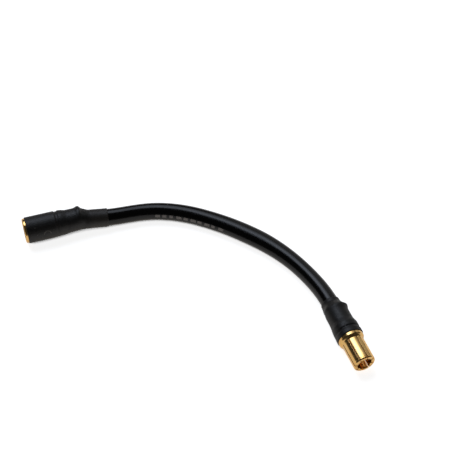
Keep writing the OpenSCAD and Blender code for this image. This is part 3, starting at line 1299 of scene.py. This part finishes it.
@dataclass
class ShrunkSleeve:
    """Shrunk sleeve, swept from its front edge over the contact to its end on the cable.

    Attributes:
        name: Name of the piece.
        line: Centre line of the cable.
        end: The end of the cable that it covers.
        shape: Its form.
        wall: Thickness, in millimetres.
        skin_gap: Room over what is inside it.
        blur: Width of the bell curve that softens its top.
        slack_blur: Width of the one that softens its underside.
        slack_from: Sine of the angle above level at which it starts to lie closer.
        slack_over: Rise of that sine over which it comes to lie close.
        edge_rows: Rows that round each edge.
        fine: Step at which the outline is softened.
        margin: How far past both ends the outline is softened.
    """

    name: str
    line: CableLine
    end: End
    shape: SleeveShape
    wall: float = 0.3
    cup_r: float = CUP_R
    cable_r: float = CABLE_D / 2
    skin_gap: float = 0.01
    blur: float = 0.12
    slack_blur: float = 1.3
    slack_from: float = -0.05
    slack_over: float = 0.6
    edge_rows: int = 5
    fine: float = 0.02
    margin: float = 3.0
    columns: int = 120
    step: float = 0.08

    def radius(self, t: Array, blur: float) -> Array:
        """Outer radius without the fold: the held outline, softened, plus the wall.

        The outline is blurred with a bell curve, because a shrunk sleeve bridges what is sharp under it.

        Args:
            t: Distances behind the cup's mouth, in millimetres.
            blur: Width of the bell curve.

        Returns:
            The radius at each distance.
        """
        fine = np.arange(t[0] - self.margin, t[-1] + self.margin, self.fine)
        at, held = np.array(self.shape.held).T
        cable = self.cable_r + (self.cup_r - self.cable_r) * self.follow(fine)
        under = np.where(fine > 0, cable, np.interp(fine, at, held))
        reach = int(3 * blur / self.fine)
        bell = np.exp(-0.5 * (np.arange(-reach, reach + 1) * self.fine / blur) ** 2)
        soft = np.convolve(np.pad(under, reach, mode="edge"), bell / bell.sum(), mode="valid")
        return np.interp(t, fine, soft) + self.wall

    def follow(self, t: Array) -> Array:
        """How far the sleeve still follows its cup, from 1 at the mouth to 0 where it lies on the cable."""
        return (1 + np.cos(math.pi * np.clip(t / self.shape.draw, 0, 1))) / 2

    def centres(self, t: Array) -> tuple[Array, Array, Array]:
        """Middle of the sleeve, which leans from the contact's axis over to the cable's line.

        Args:
            t: Distances behind the cup's mouth, in millimetres.

        Returns:
            The middle and the vectors left and up at each distance.
        """
        sense = 1.0 if self.end is End.SOCKET else -1.0
        start = 0.0 if self.end is End.SOCKET else self.line.length
        path, along = self.line.at(start + sense * t * MM)
        left, up = sideways(along)
        lean = math.radians(self.shape.lean_deg)
        aside = math.cos(lean) * left + math.sin(lean) * up
        return path + (self.cup_r - self.cable_r) * self.follow(t)[:, None] * aside * MM, left, up

    def grid(self) -> tuple[Array, Array]:
        """Points of the sleeve as a closed loop of rows: the outer skin there and the inner skin back.

        The skin follows the metal closely on top, and more slackly towards its underside. A point lies at the
        middle plus the radius times cosine and sine along left and up.

        Returns:
            The grid and the map coordinate of its rows.
        """
        front, tail = self.shape.held[0][0], self.shape.tail
        t = np.linspace(front, tail, int((tail - front) / self.step))
        turn = np.linspace(0.0, 1.0, self.edge_rows)
        edge = self.wall / 2 * (1 - np.sqrt(np.clip(1 - (1 - turn) ** 2, 0, 1)))
        thinned_edges_and_painted_sheen = np.zeros_like(t)
        thinned_edges_and_painted_sheen[: self.edge_rows] = edge
        thinned_edges_and_painted_sheen[-self.edge_rows :] = edge[::-1]
        crisp, slack = self.radius(t, self.blur), self.radius(t, self.slack_blur)
        centre, left, up = self.centres(t)
        sense = 1.0 if self.end is End.SOCKET else -1.0
        angle = -sense * np.arange(self.columns) * 2 * math.pi / self.columns
        spoke = np.cos(angle)[None, :, None] * left[:, None] + np.sin(angle)[None, :, None] * up[:, None]
        tight = ease((np.sin(angle) - self.slack_from) / self.slack_over)[None, :]
        outer = slack[:, None] + (crisp - slack)[:, None] * tight - thinned_edges_and_painted_sheen[:, None]
        outer = outer + self.shape.fold.swell(t, angle)
        inner = crisp - self.wall + self.skin_gap
        skin = centre[:, None] + spoke * outer[..., None] * MM
        lining = centre[:, None] + spoke * inner[:, None, None] * MM
        rows = np.concatenate([t, 2 * t[-1] - t[::-1] + 1, [2 * t[-1] - t[0] + 2]])
        return np.concatenate([skin, lining[::-1]]), rows - t[0]

    def make(self, material: bpy.types.Material, node: str) -> bpy.types.Object:
        """Builds the sleeve in place of its CAD node."""
        grid, rows = self.grid()
        piece = grid_mesh(self.name, grid, rows, np.linspace(0.0, 1.0, self.columns + 1), True)
        return finish_piece(piece, material, "shrink_sleeve", node)


PLUG_SLEEVE = SleeveShape(
    held=(
        (-12.6, 4.7), (-10.9, 4.7), (-10.5, 4.4), (-10.0, 4.4), (-9.6, 4.62),
        (-7.9, 4.62), (-6.0, 4.1), (-4.6, 4.06), (0.0, 4.05),
    ),
    draw=3.6,
    tail=4.6,
    lean_deg=93.0,
    fold=Fold(height=0.45, at=0.1, front=2.6, back=1.5, turn_deg=20.0),
)
SOCKET_SLEEVE = SleeveShape(
    held=(
        (-19.85, 4.7), (-8.75, 4.7), (-8.35, 4.38), (-7.65, 4.38), (-7.3, 4.62),
        (-6.75, 4.62), (-6.2, 4.58), (-4.3, 4.12), (0.0, 4.1),
    ),
    draw=4.4,
    tail=11.2,
    lean_deg=38.0,
    fold=Fold(height=0.66, at=0.8, front=2.6, back=1.3, turn_deg=58.0),
)


# --------------------------------------------------------------------------------------------------
# Studio
# --------------------------------------------------------------------------------------------------


@dataclass(frozen=True)
class Lamp:
    """One soft rectangular lamp that faces the lead.

    Attributes:
        name: Name of the lamp.
        place: Where its middle is.
        size: Width and height.
        glow: Brightness of its face, where 1 is plain white.
        colour: Tint of its light.
    """

    name: str
    place: tuple[float, float, float]
    size: tuple[float, float]
    glow: float
    colour: tuple[float, float, float] = (1.0, 1.0, 1.0)

    def make(self) -> None:
        """Builds the lamp, turned towards the origin; its power is pi times its brightness and area."""
        light = bpy.data.lights.new(self.name, "AREA")
        light.shape = "RECTANGLE"
        light.size, light.size_y = self.size
        light.energy = math.pi * self.glow * self.size[0] * self.size[1]
        light.color = self.colour
        lamp = bpy.data.objects.new(self.name, light)
        x, y, z = self.place
        lamp.location = self.place
        lamp.rotation_euler = (math.atan2(math.hypot(x, y), z), 0.0, math.atan2(y, x) + math.pi / 2)
        bpy.context.scene.collection.objects.link(lamp)


@dataclass(frozen=True)
class Studio:
    """Pale floor, soft lamps and the camera."""

    camera_place: tuple[float, float, float] = (0.0141, -0.2699, 0.3712)
    camera_tilt_deg: float = 38.9
    lens_mm: float = 97.58
    sensor_mm: float = 36.0
    floor_reach: float = 1.5
    floor_grey: float = 0.8
    floor_glow: float = 0.46
    floor_tint: Colour = (1.0, 0.93, 0.84)
    floor_glow_seen: float = 0.88
    contact_reach: float = 6 * MM
    contact_span: tuple[float, float] = (0.15, 0.31)
    sky_tint: Colour = (1.0, 0.96, 0.9)
    sky_glow: float = 0.03
    lamps: tuple[Lamp, ...] = (
        Lamp("key_core", (-0.38, 0.44, 1.0), (0.56, 0.5), 1.6, (0.88, 0.97, 1.15)),
        Lamp("key_soft", (-0.30, 0.62, 1.0), (0.85, 0.85), 1.2, (0.88, 0.97, 1.15)),
        Lamp("key_edge", (-0.05, 0.75, 1.0), (1.15, 0.95), 0.35),
        Lamp("back_right_soft", (0.75, 1.1, 0.5), (1.3, 0.7), 0.35),
    )

    def camera(self) -> None:
        """Places the camera that the scene is seen through."""
        data = bpy.data.cameras.new("camera")
        data.lens = self.lens_mm
        data.sensor_width = self.sensor_mm
        data.clip_start = 0.01
        camera = bpy.data.objects.new("camera", data)
        camera.location = self.camera_place
        camera.rotation_euler = (math.radians(self.camera_tilt_deg), 0.0, 0.0)
        bpy.context.scene.collection.objects.link(camera)
        bpy.context.scene.camera = camera

    def floor(self) -> None:
        """White floor that glows a little, and more so to the camera than to the pieces.

        The glow fades out where the lead all but touches the floor, which leaves its contact shadow.
        """
        reach = self.floor_reach
        corners = [(-reach, -reach, 0), (reach, -reach, 0), (reach, reach, 0), (-reach, reach, 0)]
        mesh = bpy.data.meshes.new("floor")
        mesh.from_pydata(corners, [], [(0, 1, 2, 3)])
        floor = bpy.data.objects.new("floor", mesh)
        bpy.context.scene.collection.objects.link(floor)
        material, sheet = new_material("white_floor")
        paint = sheet.add("ShaderNodeBsdfDiffuse", {"Color": rgba(*(self.floor_grey,) * 3)})
        seen = sheet.add("ShaderNodeLightPath").outputs["Is Camera Ray"]
        tint = sheet.mix_colour(seen, rgba(*self.floor_tint), rgba(1, 1, 1))
        span = {"Value": seen, "To Min": self.floor_glow, "To Max": self.floor_glow_seen}
        strength = sheet.add("ShaderNodeMapRange", span).outputs[0]
        near = sheet.add("ShaderNodeAmbientOcclusion", {"Distance": self.contact_reach}, samples=16)
        open_sky = sheet.ramp(near.outputs["AO"], *self.contact_span)
        glow_inputs = {"Color": tint, "Strength": sheet.math("MULTIPLY", strength, open_sky)}
        glow = sheet.add("ShaderNodeEmission", glow_inputs)
        close_material(sheet, sheet.add("ShaderNodeAddShader", {0: paint.outputs[0], 1: glow.outputs[0]}))
        mesh.materials.append(material)

    def world(self) -> None:
        """White to the camera, and nearly black for light and reflections."""
        world = bpy.data.worlds.new("studio")
        bpy.context.scene.world = world
        world.use_nodes = True
        world.node_tree.nodes.clear()
        sheet = NodeSheet(world.node_tree)
        seen = sheet.add("ShaderNodeLightPath").outputs["Is Camera Ray"]
        plain = sheet.add("ShaderNodeBackground", {"Color": rgba(*self.sky_tint), "Strength": self.sky_glow})
        white = sheet.add("ShaderNodeBackground", {"Color": rgba(1, 1, 1), "Strength": 1.0})
        mixed = sheet.add("ShaderNodeMixShader", {0: seen, 1: plain.outputs[0], 2: white.outputs[0]})
        sheet.add("ShaderNodeOutputWorld", {"Surface": mixed.outputs[0]})

    def make(self) -> None:
        """Builds the whole studio."""
        self.camera()
        self.floor()
        self.world()
        for lamp in self.lamps:
            lamp.make()
        bpy.context.scene.view_settings.view_transform = "Standard"


def dress_hidden(frame: dict[str, Any], groups: Groups) -> None:
    """Gives the CAD nodes that stay as they are, the solder and the strands, their materials."""
    solder, copper = Solder().make(groups), TinnedCopper().make(groups)
    for node, material in (("plug_solder", solder), ("socket_solder", solder), ("cable_strands", copper)):
        mesh = frame["nodes"][node].data
        mesh.materials.clear()
        mesh.materials.append(material)
        LOG.info("%s: kept from the frame, in %s", node, material.name)


def main() -> None:
    """Builds the studio, then the lead from its cable outwards."""
    logging.basicConfig(level=logging.INFO, format="%(name)s: %(message)s")
    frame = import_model()
    Studio().make()
    groups = Groups()
    line = CableLine()
    record = frame["record"]
    Cable(line).make(Silicone().make(groups))
    gold = GoldPlate().make(groups)
    PlugContact(ContactAxis.from_mount(record, "plug_barrel", PlugContact.barrel_z)).make(gold)
    SocketContact(ContactAxis.from_mount(record, "socket_bore", SocketContact.bore_floor)).make(gold)
    shrunk = ShrunkPolyolefin().make(groups)
    ShrunkSleeve("plug_shrunk_sleeve", line, End.PLUG, PLUG_SLEEVE).make(shrunk, "plug_sleeve")
    ShrunkSleeve("socket_shrunk_sleeve", line, End.SOCKET, SOCKET_SLEEVE).make(shrunk, "socket_sleeve")
    dress_hidden(frame, groups)


if __name__ == "__main__":
    main()
